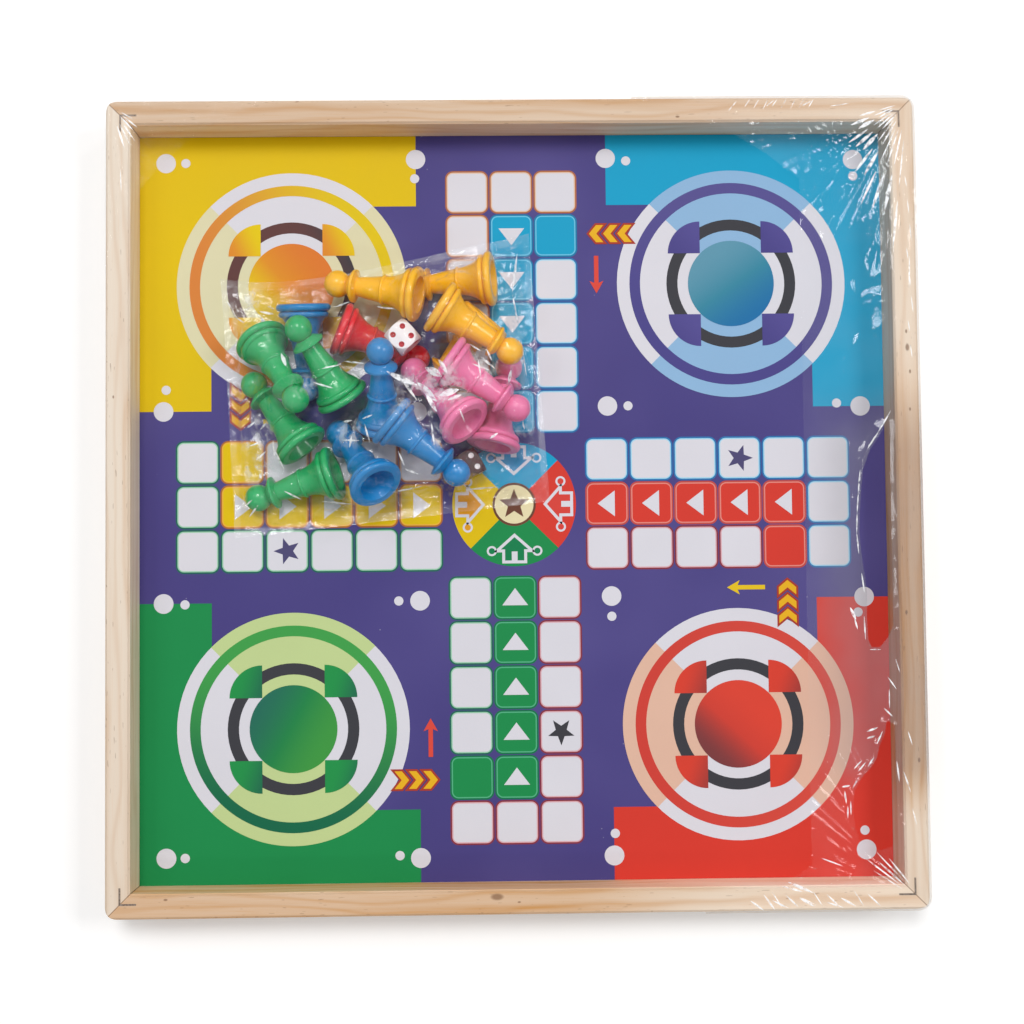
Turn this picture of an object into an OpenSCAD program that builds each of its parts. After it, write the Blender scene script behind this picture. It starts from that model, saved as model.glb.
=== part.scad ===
// Ludo board: a square pine tray with a printed floor, a clear bag of playing
// pieces lying in it and what is left of a clear wrapping film on its right side and one corner.
// Millimetres, +Z up, origin under the middle of the tray, +Y away from the player.

/* [Frame] */
// Outside width of the square frame
board_w = 300; // [240:1:360]
// Width of a rail seen from above
rail_w = 9; // [8:0.5:14]
// Depth from the top of the rails to the printed floor
tray_depth = 17; // [12:0.5:26]
// Height of the rail below the floor panel
back_lip = 4; // [3:0.5:8]
// Flat taken off the long edges of a rail
edge_ease = 0.8; // [0.4:0.1:1.2]
// Radius of the rounded outer corners of the frame
corner_r = 4.5; // [2:0.5:7]

/* [Floor] */
// Thickness of the hardboard floor panel
panel_t = 3; // [2:0.1:5]
// Thickness of the printed sheet glued on the panel
sheet_t = 0.3; // [0.2:0.05:0.6]
// How far the floor reaches into the groove of a rail
groove_d = 4; // [2:0.5:5]
// Room left around the floor in its groove
groove_fit = 0.15; // [0.05:0.05:0.3]

/* [Corner nails] */
// Length of one wing of a corner nail
nail_wing = 6; // [4:0.5:8]
// Thickness of the nail strip
nail_t = 0.6; // [0.4:0.1:1]
// Depth the nail is driven to
nail_deep = 10; // [6:0.5:12]
// Room around the nail in the wood
nail_fit = 0.05; // [0.02:0.01:0.1]

/* [Print] */
// Thickness of one layer of print
ink_t = 0.05; // [0.03:0.01:0.08]
// Distance between neighbouring squares of the track
cell_pitch = 16.8; // [14:0.1:18]
// Width of a printed square
cell_w = 14.4; // [10:0.1:15]
// Radius of the corners of a square
cell_r = 2; // [0.5:0.1:3]
// Distance from the middle of the board to the first square
arm_start = 26.8; // [24:0.1:30]
// Gap between the home disc and the first squares
home_gap = 3.4; // [1:0.1:6]
// Distance from the wood to the middle of a yard
yard_inset = 57.5; // [50:0.5:64]
// Radius of a yard
yard_r = 43.5; // [36:0.5:46]
// Width of the coloured band around a yard, from the wood
band_w = 27; // [20:0.5:34]
// Gap between a coloured band and the track
band_gap = 11; // [4:0.5:16]
// Outer radius of the coloured ring of a yard
ring_r = 38.7; // [34:0.1:40]
// Width of the coloured ring
ring_w = 4; // [2:0.1:6]
// Outer radius of the dark ring of a yard
dark_r = 24.6; // [20:0.1:28]
// Width of the dark ring
dark_w = 4.2; // [2:0.1:6]
// Radius of the middle disc of a yard
hub_r = 16.4; // [10:0.1:18]
// Radius of a pawn spot, a quarter of a disc
spot_r = 12.2; // [8:0.1:13]
// Distance of the spot's corner from the yard's axes
spot_in = 11.7; // [8:0.1:14]
// Radius of the white dots at the ends of the bands
dot_r = 3.7; // [2:0.1:5]
// Distance of the corner dots from the rails
dot_in = 10; // [8:0.1:12]
// Distance of the dots at the ends of the bands from the rails
end_dot_in = 9; // [7:0.1:11]

/* [Pawn] */
// Height of the head's middle above the base
head_z = 31.4; // [28:0.1:36]
// Diameter of the ball head
head_d = 10; // [8:0.1:12]
// Diameter of the base ring
base_d = 20.4; // [17:0.1:22]
// Height of the base ring
ring1_h = 2.8; // [2:0.1:3.4]
// Diameter of the second ring
ring2_d = 18.6; // [15:0.1:19.4]
// Height of the second ring
ring2_h = 2.4; // [1.6:0.1:3]
// Height of the waist above the base
waist_z = 13.4; // [11:0.1:15]
// Diameter of the body at the waist
waist_d = 10.2; // [8:0.1:12]
// Diameter of the neck under the collar
neck_d = 6.8; // [5:0.1:8]
// Diameter of the collar
collar_d = 12.2; // [10:0.1:13]
// Height of the collar above the base
collar_z = 24.4; // [22:0.1:26]
// Diameter of the hollow under the base
hollow_d = 14; // [10:0.1:15]
// Depth of the hollow
hollow_h = 9; // [5:0.5:11]

/* [Dice] */
// Edge of a die
die_w = 9.8; // [7:0.1:11]
// Diameter of a pip
pip_d = 2.1; // [1.4:0.1:2.2]
// Depth of a pip
pip_h = 0.4; // [0.2:0.05:0.6]

/* [Bag and film] */
// Thickness of the bag's film as drawn
bag_t = 0.25; // [0.2:0.05:0.4]
// Width of the flat welded border of the bag
seam_w = 3; // [2:0.5:5]
// Room between the pieces and the bag over them
bag_room = 2; // [1.6:0.1:3]
// Steepness of the bag between the pieces, in degrees
bag_slope = 40; // [30:1:55]
// Thickness of the wrapping film as drawn
film_t = 0.25; // [0.2:0.05:0.4]
// Room between the film and what it covers
film_room = 0.3; // [0.2:0.05:0.6]
// Height of the film's skirt down the outside of the rails
skirt_h = 20; // [10:0.5:22]
// Length of film left along the rails at the far right corner
reach_far_right = 105; // [50:1:140]
// Length of film left along the rails at the near right corner
reach_near_right = 82; // [50:1:140]
// Width of the band of film left along the right rail
film_band = 43; // [34:1:60]
// Length of film left along the rails at the far left corner
reach_far_left = 64; // [50:1:140]

/* [Hidden] */
$fn = 64;

half = board_w / 2;
inner = half - rail_w;
sheet_z = back_lip + panel_t + sheet_t;
rail_h = sheet_z + tray_depth;
floor_half = inner + groove_d - groove_fit;
home_r = arm_start - home_gap;
yard_c = inner - yard_inset;
band_in = inner - band_w;
band_end = 1.5 * cell_pitch + band_gap;
base_r = base_d / 2;
head_r = head_d / 2;
pawn_h = head_z + head_r;
bag_z = sheet_z + 6 * ink_t;
bag_floor = bag_z + bag_t + 0.1;

// Angle at which a pawn lies on its base ring and head
rim = ring1_h / 2;
lie = atan2(base_r - rim, head_z - rim) - asin((head_r - rim) / norm([base_r - rim, head_z - rim]));
lie_z = rim * (1 + sin(lie)) + (base_r - rim) * cos(lie);

// Corners of the bag, from the far left round to the near left
bag = [[-110, 86], [6.5, 102], [13.5, 1], [-105, -12]];

// Playing pieces in the bag: name, place of the base, way the head points,
// how much the base is raised, how much the head is tipped up
pile = [
    ["green_pawn_1", -94, 62, -59, -1, 36],
    ["green_pawn_2", -63, 39, 122, 0, 31],
    ["green_pawn_3", -78, 21, 128, 0, 0],
    ["green_pawn_4", -66, 12, -163, 0, 0],
    ["blue_pawn_1", -78, 75, -89, 0, 0],
    ["blue_pawn_2", -48.5, 29, 90, -2, 45],
    ["blue_pawn_3", -45.5, 30, -39, 18, 3.7],
    ["blue_pawn_4", -50, 6, 126, 12.7, -25],
    ["yellow_pawn_1", -34.5, 76.2, 170, 10.5, -2],
    ["yellow_pawn_2", -7, 84, -177, 0, 0],
    ["yellow_pawn_3", -27.8, 71.5, -31.8, 14.8, 1.7],
    ["yellow_pawn_4", -9.5, 69.5, -131, 0, 0],
    ["pink_pawn_1", -24.8, 51.6, -34.9, 16.5, 5.4],
    ["pink_pawn_2", -17.2, 28, 133, 15.8, -14.3],
    ["pink_pawn_3", -8, 21, 78, 0, 0],
    ["red_pawn_1", -65, 66, -21, 0, 0]
];
// Dice: place of the middle, height above the bag's floor, turn, tip
dice = [
    ["white_die", -40.7, 61.1, 17.2, 42, 0],
    ["brown_die", -16.9, 14.6, 5, 30, 0]
];

// Every separate piece

// One quarter turn of the board for each colour: yellow, blue, red, green
turns = [0, -90, -180, -270];

// Places along a pawn's axis with the radius to be kept clear there
stations = [
    [rim, base_r],
    [ring1_h + ring2_h, ring2_d / 2],
    [(ring1_h + waist_z) / 2, (ring2_d + waist_d) / 4],
    [waist_z, waist_d / 2 + 0.8],
    [collar_z + 0.4, collar_d / 2 + 0.4],
    [head_z, head_r]
];

function pitch(p) = p[5] - lie;
function way(p) = [cos(p[3]) * cos(pitch(p)), sin(p[3]) * cos(pitch(p)), sin(pitch(p))];
function foot(p) = [p[1], p[2], bag_floor + lie_z + p[4]];

// Balls that stand for all the pieces in the bag: place and radius
lumps = concat(
    [for (p = pile) for (s = stations) concat(foot(p) + s[0] * way(p), [s[1]])],
    [for (d = dice) [d[1], d[2], bag_floor + d[3], die_w * 0.72]]
);

// Height of a sheet drawn over a ball, at a distance d from the ball's middle
function over(d, r) = d < r * sin(bag_slope)
    ? sqrt(r * r - d * d)
    : r * cos(bag_slope) - (d - r * sin(bag_slope)) * tan(bag_slope);

function drape(x, y) = max([for (b = lumps) b[2] + over(norm([b[0] - x, b[1] - y]), b[3] + bag_room)]);

// Point of the bag at shares u and v of its width and length
function bag_xy(u, v) =
    (bag[3] * (1 - u) + bag[2] * u) * (1 - v) + (bag[0] * (1 - u) + bag[1] * u) * v;

module rounded_square(w, r) {
    square([w - 2 * r, w], center = true);
    square([w, w - 2 * r], center = true);
    for (x = [-1, 1], y = [-1, 1])
        translate([x * (w / 2 - r), y * (w / 2 - r)]) circle(r);
}

// Cross section of a rail: x outward from the inner face, y up
module rail_profile() {
    difference() {
        polygon([
            [0, 0], [rail_w - edge_ease, 0], [rail_w, edge_ease], [rail_w, rail_h - edge_ease],
            [rail_w - edge_ease, rail_h], [edge_ease, rail_h], [0, rail_h - edge_ease]
        ]);
        translate([-1, back_lip - groove_fit])
            square([groove_d + 1, panel_t + sheet_t + 2 * groove_fit]);
    }
}

module nail_outline(fit) {
    w = nail_t / 2 + fit;
    translate([-w, -w]) square([nail_wing + w, 2 * w]);
    translate([-w, -w]) square([2 * w, nail_wing + w]);
}

// A nail in each corner of the frame, its wings along the two rails
module nails(fit, deep) {
    at = half - 0.6 * rail_w;
    for (k = [0:3])
        rotate(90 * k) translate([-at, -at, rail_h - deep]) linear_extrude(deep) nail_outline(fit);
}

// One mitred rail along the near side of the board
module rail() {
    difference() {
        intersection() {
            translate([-half, -inner, 0]) rotate([90, 0, 90]) mirror([1, 0, 0])
                linear_extrude(board_w) rail_profile();
            linear_extrude(rail_h) polygon([[-half, -half], [half, -half], [0, 0]]);
            linear_extrude(rail_h) rounded_square(board_w, corner_r);
        }
        nails(nail_fit, nail_deep);
    }
}

module front_rail() {
    color("#d9c39a") rail();
}

module right_rail() {
    color("#d9c39a") rotate(90) rail();
}

module back_rail() {
    color("#d9c39a") rotate(180) rail();
}

module left_rail() {
    color("#d9c39a") rotate(270) rail();
}

module corner_v_nails() {
    color("#6d6a66") nails(0, nail_deep);
}

module floor_panel() {
    color("#8a6a48") translate([-floor_half, -floor_half, back_lip])
        cube([2 * floor_half, 2 * floor_half, panel_t]);
}

module printed_sheet() {
    color("#46357c") translate([-floor_half, -floor_half, back_lip + panel_t])
        cube([2 * floor_half, 2 * floor_half, sheet_t]);
}

// A layer of print, counted up from the sheet
module ink(level) {
    translate([0, 0, sheet_z + level * ink_t]) linear_extrude(ink_t) children();
}

function along(k) = arm_start + (k + 0.5) * cell_pitch;

// Flat outline of the track squares of one arm that reaches to the far side
module cell(column, k) {
    translate([column * cell_pitch, along(k)]) rounded_square(cell_w, cell_r);
}

// Coloured squares: the home column and the starting square
module coloured_cells() {
    for (k = [0:4]) cell(0, k);
    cell(1, 4);
}

module white_cells() {
    for (k = [0:5]) cell(-1, k);
    for (k = [0:3]) cell(1, k);
    cell(1, 5);
    cell(0, 5);
}

// Band round the outer sides of the yard in the far left corner
module band() {
    difference() {
        translate([-inner, band_end]) square(inner - band_end);
        translate([-band_in, band_end - 1]) square(band_in - band_end + 1);
        translate([-band_in, band_end - 1]) square([inner, band_in - band_end + 1]);
    }
}

module in_yard() {
    translate([-yard_c, yard_c]) children();
}

module pawn_spots() {
    for (k = [0:3]) rotate(90 * k)
        translate([spot_in, spot_in]) intersection() {
            circle(spot_r);
            square(spot_r);
        }
}

module home_sector() {
    intersection() {
        circle(home_r);
        polygon([[0, 0], [-inner, inner], [inner, inner]]);
    }
}

// All the areas printed in one colour, for the turn of that colour
module colour_areas(yard_turn, arm_turn) {
    rotate(yard_turn) {
        ink(0) band();
        ink(2) in_yard() difference() {
            circle(ring_r);
            circle(ring_r - ring_w);
        }
        ink(3) in_yard() {
            circle(hub_r);
            pawn_spots();
        }
    }
    rotate(arm_turn) ink(0) {
        coloured_cells();
        home_sector();
    }
}

module print_yellow() {
    color("#f2c200") colour_areas(0, 90);
}

module print_blue() {
    color("#12a4d4") colour_areas(-90, 0);
}

module print_red() {
    color("#e0352b") colour_areas(-180, -90);
}

module print_green() {
    color("#3fae49") colour_areas(-270, 180);
}

module print_white() {
    color("#efeff2") for (t = turns) rotate(t) {
        ink(0) white_cells();
        ink(1) in_yard() circle(yard_r);
        ink(1) for (k = [0:4]) translate([0, along(k)])
            polygon([[-0.34 * cell_w, 0.2 * cell_w], [0.34 * cell_w, 0.2 * cell_w], [0, -0.25 * cell_w]]);
        ink(1) translate([-inner + dot_in, inner - dot_in]) circle(dot_r);
        ink(1) translate([-band_end, inner - end_dot_in]) circle(dot_r);
        ink(1) translate([-inner + end_dot_in, band_end]) circle(dot_r);
    }
}

module print_dark() {
    color("#4a3b3a") for (t = turns) rotate(t) {
        ink(2) in_yard() difference() {
            circle(dark_r);
            circle(dark_r - dark_w);
        }
        ink(1) translate([-cell_pitch, along(3)])
            polygon([for (k = [0:9]) (k % 2 == 0 ? 0.36 : 0.15) * cell_w * [sin(36 * k), cos(36 * k)]]);
    }
}

// A disc with a fully rounded rim
module round_disc(r, h) {
    cylinder(r = r - h / 2, h = h);
    translate([0, 0, h / 2]) rotate_extrude() translate([r - h / 2, 0]) circle(h / 2);
}

// A playing pawn standing on the origin
module pawn() {
    flare_z = ring1_h + ring2_h;
    flare_r = (ring2_d - ring2_h) / 2;
    flare_h = waist_z - flare_z;
    waist_r = waist_d / 2;
    cove_x = (flare_r * flare_r + flare_h * flare_h - waist_r * waist_r) / (2 * (flare_r - waist_r));
    difference() {
        union() {
            round_disc(base_r, ring1_h);
            translate([0, 0, ring1_h]) round_disc(ring2_d / 2, ring2_h);
            translate([0, 0, flare_z]) rotate_extrude() difference() {
                square([flare_r, flare_h]);
                translate([cove_x, flare_h]) circle(cove_x - waist_r, $fn = 180);
            }
            translate([0, 0, waist_z]) rotate_extrude() translate([waist_r - 0.2, 0]) circle(0.7);
            translate([0, 0, waist_z]) cylinder(h = collar_z - waist_z, d1 = waist_d, d2 = neck_d);
            translate([0, 0, collar_z - 1]) cylinder(h = 1, d1 = neck_d - 1, d2 = collar_d);
            translate([0, 0, collar_z]) cylinder(h = 0.8, d = collar_d);
            translate([0, 0, collar_z + 0.8]) cylinder(h = 2, d1 = collar_d, d2 = neck_d);
            translate([0, 0, head_z]) sphere(head_r);
        }
        translate([0, 0, -1]) cylinder(h = hollow_h + 1, d1 = hollow_d + 0.6, d2 = hollow_d * 0.5);
    }
}

module pawn_in_pile(p, shade) {
    color(shade) translate(foot(p)) rotate([0, 90 - pitch(p), p[3]]) pawn();
}

function shade_of(name) =
    name[0] == "g" ? "#2fae5b" : name[0] == "b" ? "#2277cc" :
    name[0] == "y" ? "#f5ab10" : name[0] == "p" ? "#d860a4" : "#d5202f";

// Places of the pips on a face of each number, in shares of a third
pips = [
    [[0, 0]],
    [[-1, -1], [1, 1]],
    [[-1, -1], [0, 0], [1, 1]],
    [[-1, -1], [-1, 1], [1, -1], [1, 1]],
    [[-1, -1], [-1, 1], [1, -1], [1, 1], [0, 0]],
    [[-1, -1], [-1, 0], [-1, 1], [1, -1], [1, 0], [1, 1]]
];

// The face that carries each number from one to six
faces = [[180, 0, 0], [90, 0, 0], [0, 90, 0], [0, 0, 0], [0, -90, 0], [-90, 0, 0]];

module die() {
    ball = (pip_d * pip_d / 4 + pip_h * pip_h) / (2 * pip_h);
    difference() {
        intersection() {
            cube(die_w, center = true);
            sphere(die_w * 0.71);
        }
        for (n = [0:5]) rotate(faces[n]) for (s = pips[n])
            translate([s[0] * die_w * 0.24, s[1] * die_w * 0.24, die_w / 2 + ball - pip_h]) sphere(ball);
    }
}

module die_in_pile(d, shade) {
    color(shade) translate([d[1], d[2], bag_floor + d[3]]) rotate([d[5], 0, d[4]]) die();
}

module bag_bottom() {
    color("#dfe6ea") translate([0, 0, bag_z]) linear_extrude(bag_t) polygon(bag);
}

// Grid lines of the upper ply in shares of its width or length: close together
// at the welded border, where the ply rises, and even in between
ply_wall = 0.8;
function border(span) = [0, seam_w, seam_w + ply_wall, seam_w + 2 * ply_wall] / span;
function shares(span, n) = concat(
    border(span),
    [for (k = [1:n - 1]) border(span)[3] + (1 - 2 * border(span)[3]) * k / n],
    [for (k = [3:-1:0]) 1 - border(span)[k]]
);
across = norm(bag[2] - bag[3]);
deep = norm(bag[0] - bag[3]);
us = shares(across, 18);
vs = shares(deep, 16);

// Height of the ply: flat on its outer grid lines, then drawn over the pieces
function ply_z(i, j, border_lines) =
    let (
        rim_cell = min(i, len(us) - 1 - i, j, len(vs) - 1 - j),
        p = bag_xy(us[i], vs[j])
    )
    rim_cell < border_lines ? bag_floor - 0.1 : max(bag_floor - 0.1, drape(p[0], p[1]));

module bag_top() {
    w = len(us);
    h = len(vs);
    n = w * h;
    low = [for (j = [0:h - 1]) for (i = [0:w - 1]) concat(bag_xy(us[i], vs[j]), ply_z(i, j, 3))];
    high = [for (j = [0:h - 1]) for (i = [0:w - 1])
        concat(bag_xy(us[i], vs[j]), ply_z(i, j, 2) + 1.3 * bag_t)];
    quads = [for (j = [0:h - 2]) for (i = [0:w - 2])
        [i + j * w, i + 1 + j * w, i + 1 + (j + 1) * w, i + (j + 1) * w]];
    under = [for (q = quads) each [[q[0], q[1], q[2]], [q[0], q[2], q[3]]]];
    upper = [for (q = quads) each [[q[0] + n, q[2] + n, q[1] + n], [q[0] + n, q[3] + n, q[2] + n]]];
    loop = concat(
        [for (i = [0:w - 2]) i],
        [for (j = [0:h - 2]) w - 1 + j * w],
        [for (i = [0:w - 2]) w - 1 - i + (h - 1) * w],
        [for (j = [0:h - 2]) (h - 1 - j) * w]
    );
    m = len(loop);
    wall = [for (k = [0:m - 1]) each [
        [loop[k], loop[k] + n, loop[(k + 1) % m]],
        [loop[(k + 1) % m], loop[k] + n, loop[(k + 1) % m] + n]
    ]];
    color("#dfe6ea") polyhedron(concat(low, high), concat(under, upper, wall));
}

// Tears in the film beside the right rail, as shares of the board's width:
// in from the outer face of the rail, then along it from the middle of the board
tear_far = [
    [0.038, 0.100], [0.050, 0.080], [0.063, 0.060], [0.072, 0.035], [0.075, 0.007], [0.077, -0.018],
    [0.078, -0.042], [0.076, -0.067], [0.073, -0.091], [0.070, -0.115], [0.071, -0.144], [0.070, -0.172],
    [0.066, -0.182], [0.056, -0.182], [0.046, -0.170], [0.039, -0.156]
];
tear_near = [
    [0.040, -0.276], [0.050, -0.271], [0.052, -0.285], [0.059, -0.301], [0.063, -0.317], [0.071, -0.329],
    [0.082, -0.341], [0.090, -0.355], [0.092, -0.369], [0.092, -0.385], [0.090, -0.401], [0.085, -0.417],
    [0.073, -0.426], [0.061, -0.428], [0.047, -0.424], [0.040, -0.414]
];
over_w = board_w + 2 * (film_room + film_t);
over_r = corner_r + film_room + film_t;

// Outline of the film across a corner, drawn on the far right one
module film_web(reach) {
    bow = 1.25 * reach;
    difference() {
        intersection() {
            rounded_square(over_w, over_r);
            translate([half - reach, half - reach]) square(2 * reach);
        }
        translate([half - bow, half - bow]) circle(norm([bow, bow - reach]), $fn = 180);
    }
}

module film_tear(points) {
    polygon([for (p = points) [half - p[0] * board_w, p[1] * board_w]]);
}

// Outline of the film's skirt all round, for the parts of it that are left
module film_skirt() {
    difference() {
        rounded_square(over_w, over_r);
        rounded_square(board_w + 2 * film_room, corner_r + film_room);
    }
}

// What is left of the wrapping film on the right: a band between the back and front rails, webs across
// both corners, two tears beside the rail and a skirt down the outside of the rails
module film_right_side() {
    color("#e8eef2") {
        translate([0, 0, rail_h + film_room]) linear_extrude(film_t) difference() {
            union() {
                film_web(reach_far_right);
                rotate(-90) film_web(reach_near_right);
                intersection() {
                    rounded_square(over_w, over_r);
                    translate([half - film_band, -board_w]) square([2 * film_band, 2 * board_w]);
                }
            }
            film_tear(tear_far);
            film_tear(tear_near);
        }
        translate([0, 0, rail_h - skirt_h]) linear_extrude(skirt_h + film_room + film_t) intersection() {
            film_skirt();
            union() {
                translate([half - film_band, -board_w]) square([2 * film_band, 2 * board_w]);
                translate([half - reach_far_right, 0]) square([2 * reach_far_right, board_w]);
                translate([half - reach_near_right, -board_w]) square([2 * reach_near_right, board_w]);
            }
        }
    }
}

module film_far_left() {
    color("#e8eef2") rotate(90) {
        translate([0, 0, rail_h + film_room]) linear_extrude(film_t) film_web(reach_far_left);
        translate([0, 0, rail_h - skirt_h]) linear_extrude(skirt_h + film_room + film_t) intersection() {
            film_skirt();
            translate([half - reach_far_left, half - reach_far_left]) square(2 * reach_far_left);
        }
    }
}

front_rail();
back_rail();
left_rail();
right_rail();
corner_v_nails();
floor_panel();
printed_sheet();
print_white();
print_yellow();
print_blue();
print_red();
print_green();
print_dark();
bag_bottom();
bag_top();
for (p = pile) pawn_in_pile(p, shade_of(p[0]));
die_in_pile(dice[0], "#f3f1ef");  // white_die
die_in_pile(dice[1], "#5b2d2b");  // brown_die
film_right_side();
film_far_left();
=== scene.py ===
"""Ludo board: finishes, fine print, clear bag and film over the packed frame."""

import math

import bpy
import numpy as np
from mathutils import Matrix, Vector, geometry, noise
from mathutils.bvhtree import BVHTree


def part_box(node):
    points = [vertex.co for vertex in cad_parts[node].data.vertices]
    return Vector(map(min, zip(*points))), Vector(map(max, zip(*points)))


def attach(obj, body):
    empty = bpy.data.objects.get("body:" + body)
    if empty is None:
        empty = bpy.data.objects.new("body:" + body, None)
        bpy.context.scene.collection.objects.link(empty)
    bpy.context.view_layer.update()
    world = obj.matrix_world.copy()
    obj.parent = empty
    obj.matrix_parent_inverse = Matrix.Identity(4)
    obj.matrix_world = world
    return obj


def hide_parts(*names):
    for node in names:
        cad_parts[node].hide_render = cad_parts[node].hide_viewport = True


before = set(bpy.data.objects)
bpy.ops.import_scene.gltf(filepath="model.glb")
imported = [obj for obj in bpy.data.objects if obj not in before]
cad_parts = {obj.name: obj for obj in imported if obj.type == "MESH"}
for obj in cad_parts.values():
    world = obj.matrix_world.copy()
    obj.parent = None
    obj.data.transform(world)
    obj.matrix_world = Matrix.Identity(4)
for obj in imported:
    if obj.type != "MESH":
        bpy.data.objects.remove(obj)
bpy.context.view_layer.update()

bl_info = {
    "name": "Ludo Board",
    "version": (1, 0, 0),
    "blender": (4, 5, 0),
    "location": "3D View > Sidebar > Ludo Board",
    "description": "Dresses a pine tray ludo board with its print, pawns, dice, clear bag and film",
    "category": "Object",
}

MM = 0.001
RAIL_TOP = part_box("front_rail")[1][2] / MM
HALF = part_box("right_rail")[1][0] / MM
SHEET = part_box("printed_sheet")[1][2] / MM
RAIL_WIDE, DIE = 9.0, 9.8
INNER = HALF - RAIL_WIDE
PAWNS = [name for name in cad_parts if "_pawn_" in name]
DICE = ("white_die", "brown_die")

# Layout of the print, in millimetres from the middle of the board
PITCH, CELL, CELL_ROUND, FIRST = 16.8, 14.4, 2.0, 35.2
YARD, YARD_ROUND, HUB = 83.5, 43.5, 16.4
SPOT_PITCH, SPOT_START, SPOT_WIDE = 35.6, 23.9, 12.2
CORNERS = {"yellow": (-1, 1), "blue": (1, 1), "red": (1, -1), "green": (-1, -1)}
# Heights over the sheet above which a face belongs to a ring, and to a hub or pawn spot
RING_ABOVE, SPOT_ABOVE = 0.1, 0.15
# Heights of the outlines and of the tints over the sheet
OUTLINE_LIFT, TINT_LIFT = 0.044, 0.112


def hexed(code):
    """Screen values of a colour written as six hexadecimal digits."""
    return tuple(int(code[i : i + 2], 16) / 255 for i in (0, 2, 4))


def linear(colour):
    """Linear values, with alpha, of a colour given as six digits or as it looks on a screen."""
    values = hexed(colour) if isinstance(colour, str) else colour[:3]
    return [v / 12.92 if v <= 0.04045 else ((v + 0.055) / 1.055) ** 2.4 for v in values] + [1.0]


def colour_prop(name, code, use):
    return bpy.props.FloatVectorProperty(
        name=name, description=use, default=hexed(code), subtype="COLOR_GAMMA", size=3, min=0, max=1
    )


def share_prop(name, value, use, top=1.0):
    return bpy.props.FloatProperty(
        name=name, description=use, default=value, min=0, max=top, subtype="FACTOR"
    )


def length_prop(name, value, use, low, high):
    return bpy.props.FloatProperty(
        name=name, description=use, default=value, min=low, max=high, subtype="DISTANCE", unit="LENGTH"
    )


def power_prop(name, value, use, top=100):
    return bpy.props.FloatProperty(name=name, description=use, default=value, min=0, max=top, unit="POWER")


class LudoWood(bpy.types.PropertyGroup):
    """Finish of the pine rails."""

    pale: colour_prop("Pale Wood", "e6d5c2", "Early wood of the rails")
    warm: colour_prop("Warm Wood", "cba27a", "Late wood, seen as streaks")
    knot: colour_prop("Knot", "77502f", "Knots and dark specks")
    streaks: share_prop("Streaks", 0.75, "How strongly the grain shows")
    edge_round: length_prop("Edge Round", 0.00025, "Rounding of the sawn edges", 0, 0.001)


class LudoPrint(bpy.types.PropertyGroup):
    """Colours of the printed sheet."""

    ground: colour_prop("Ground", "473f7f", "Ground of the sheet")
    white: colour_prop("White", "dcdae2", "Squares, dots and discs")
    yellow: colour_prop("Yellow", "e0be00", "Yellow areas")
    blue: colour_prop("Blue", "0f9fc9", "Blue areas")
    red: colour_prop("Red", "d63a2d", "Red areas")
    green: colour_prop("Green", "168a4a", "Green areas")
    dark: colour_prop("Dark", "3a3a40", "Dark rings and stars")
    dust: share_prop("Dust", 0.5, "Specks of dust on the ground")
    gloss: share_prop("Roughness", 0.5, "Roughness of the varnished print")


class LudoPlastic(bpy.types.PropertyGroup):
    """Colours of the pawns and dice."""

    green: colour_prop("Green", "18a75f", "Green pawns")
    blue: colour_prop("Blue", "007fc0", "Blue pawns")
    yellow: colour_prop("Yellow", "f5b700", "Yellow pawns")
    pink: colour_prop("Pink", "e877a6", "Pink pawns")
    red: colour_prop("Red", "dc1628", "Red pawn")
    white: colour_prop("White", "ece6e6", "White die and pips")
    brown: colour_prop("Brown", "47221e", "Brown die")
    pip: colour_prop("Pip", "b5202c", "Pips of the white die")
    gloss: share_prop("Roughness", 0.24, "Roughness of the mouldings")


class LudoFilm(bpy.types.PropertyGroup):
    """Clear bag and wrapping film."""

    slope: bpy.props.FloatProperty(
        name="Bag Slope", description="Steepness of the bag between the pieces", default=math.radians(50),
        min=0.3, max=1.2, subtype="ANGLE", unit="ROTATION",
    )
    clear: length_prop("Bag Room", 0.0008, "Room between the pieces and the bag", 0.0003, 0.002)
    crease: length_prop("Crease Height", 0.0011, "Height of the creases in the bag", 0, 0.002)
    wrinkles: bpy.props.IntProperty(
        name="Wrinkles", description="Wrinkles that fan out from a corner of the film",
        default=30, min=6, max=60,
    )
    veil: share_prop("Veil", 0.02, "Milkiness of the film")
    bag_veil: share_prop("Bag Veil", 0.055, "Milkiness of the bag over the pieces")
    weld: share_prop("Weld", 0.22, "Milkiness of the welded border of the bag")
    # Painted shade: strength of a dark grey layer laid over the wide film on the right
    painted_shade: share_prop("Haze", 0.28, "Dimness of the wide film on the right")


class LudoStage(bpy.types.PropertyGroup):
    """Camera and light."""

    lens: bpy.props.FloatProperty(
        name="Lens", description="Focal length", default=56.25, min=20, max=200, unit="CAMERA"
    )
    key: power_prop("Key Light", 20.6, "Power of the main lamp")
    fill: power_prop("Fill Light", 9.0, "Power of the second lamp")
    spark: power_prop("Small Lamps", 2.0, "Power of each small lamp that glints in the film", 20)
    sky: share_prop("Sky", 0.5, "Strength of the even light all round", 2.0)
    floor: colour_prop("Floor", "f4f4f4", "Floor under the board")


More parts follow.
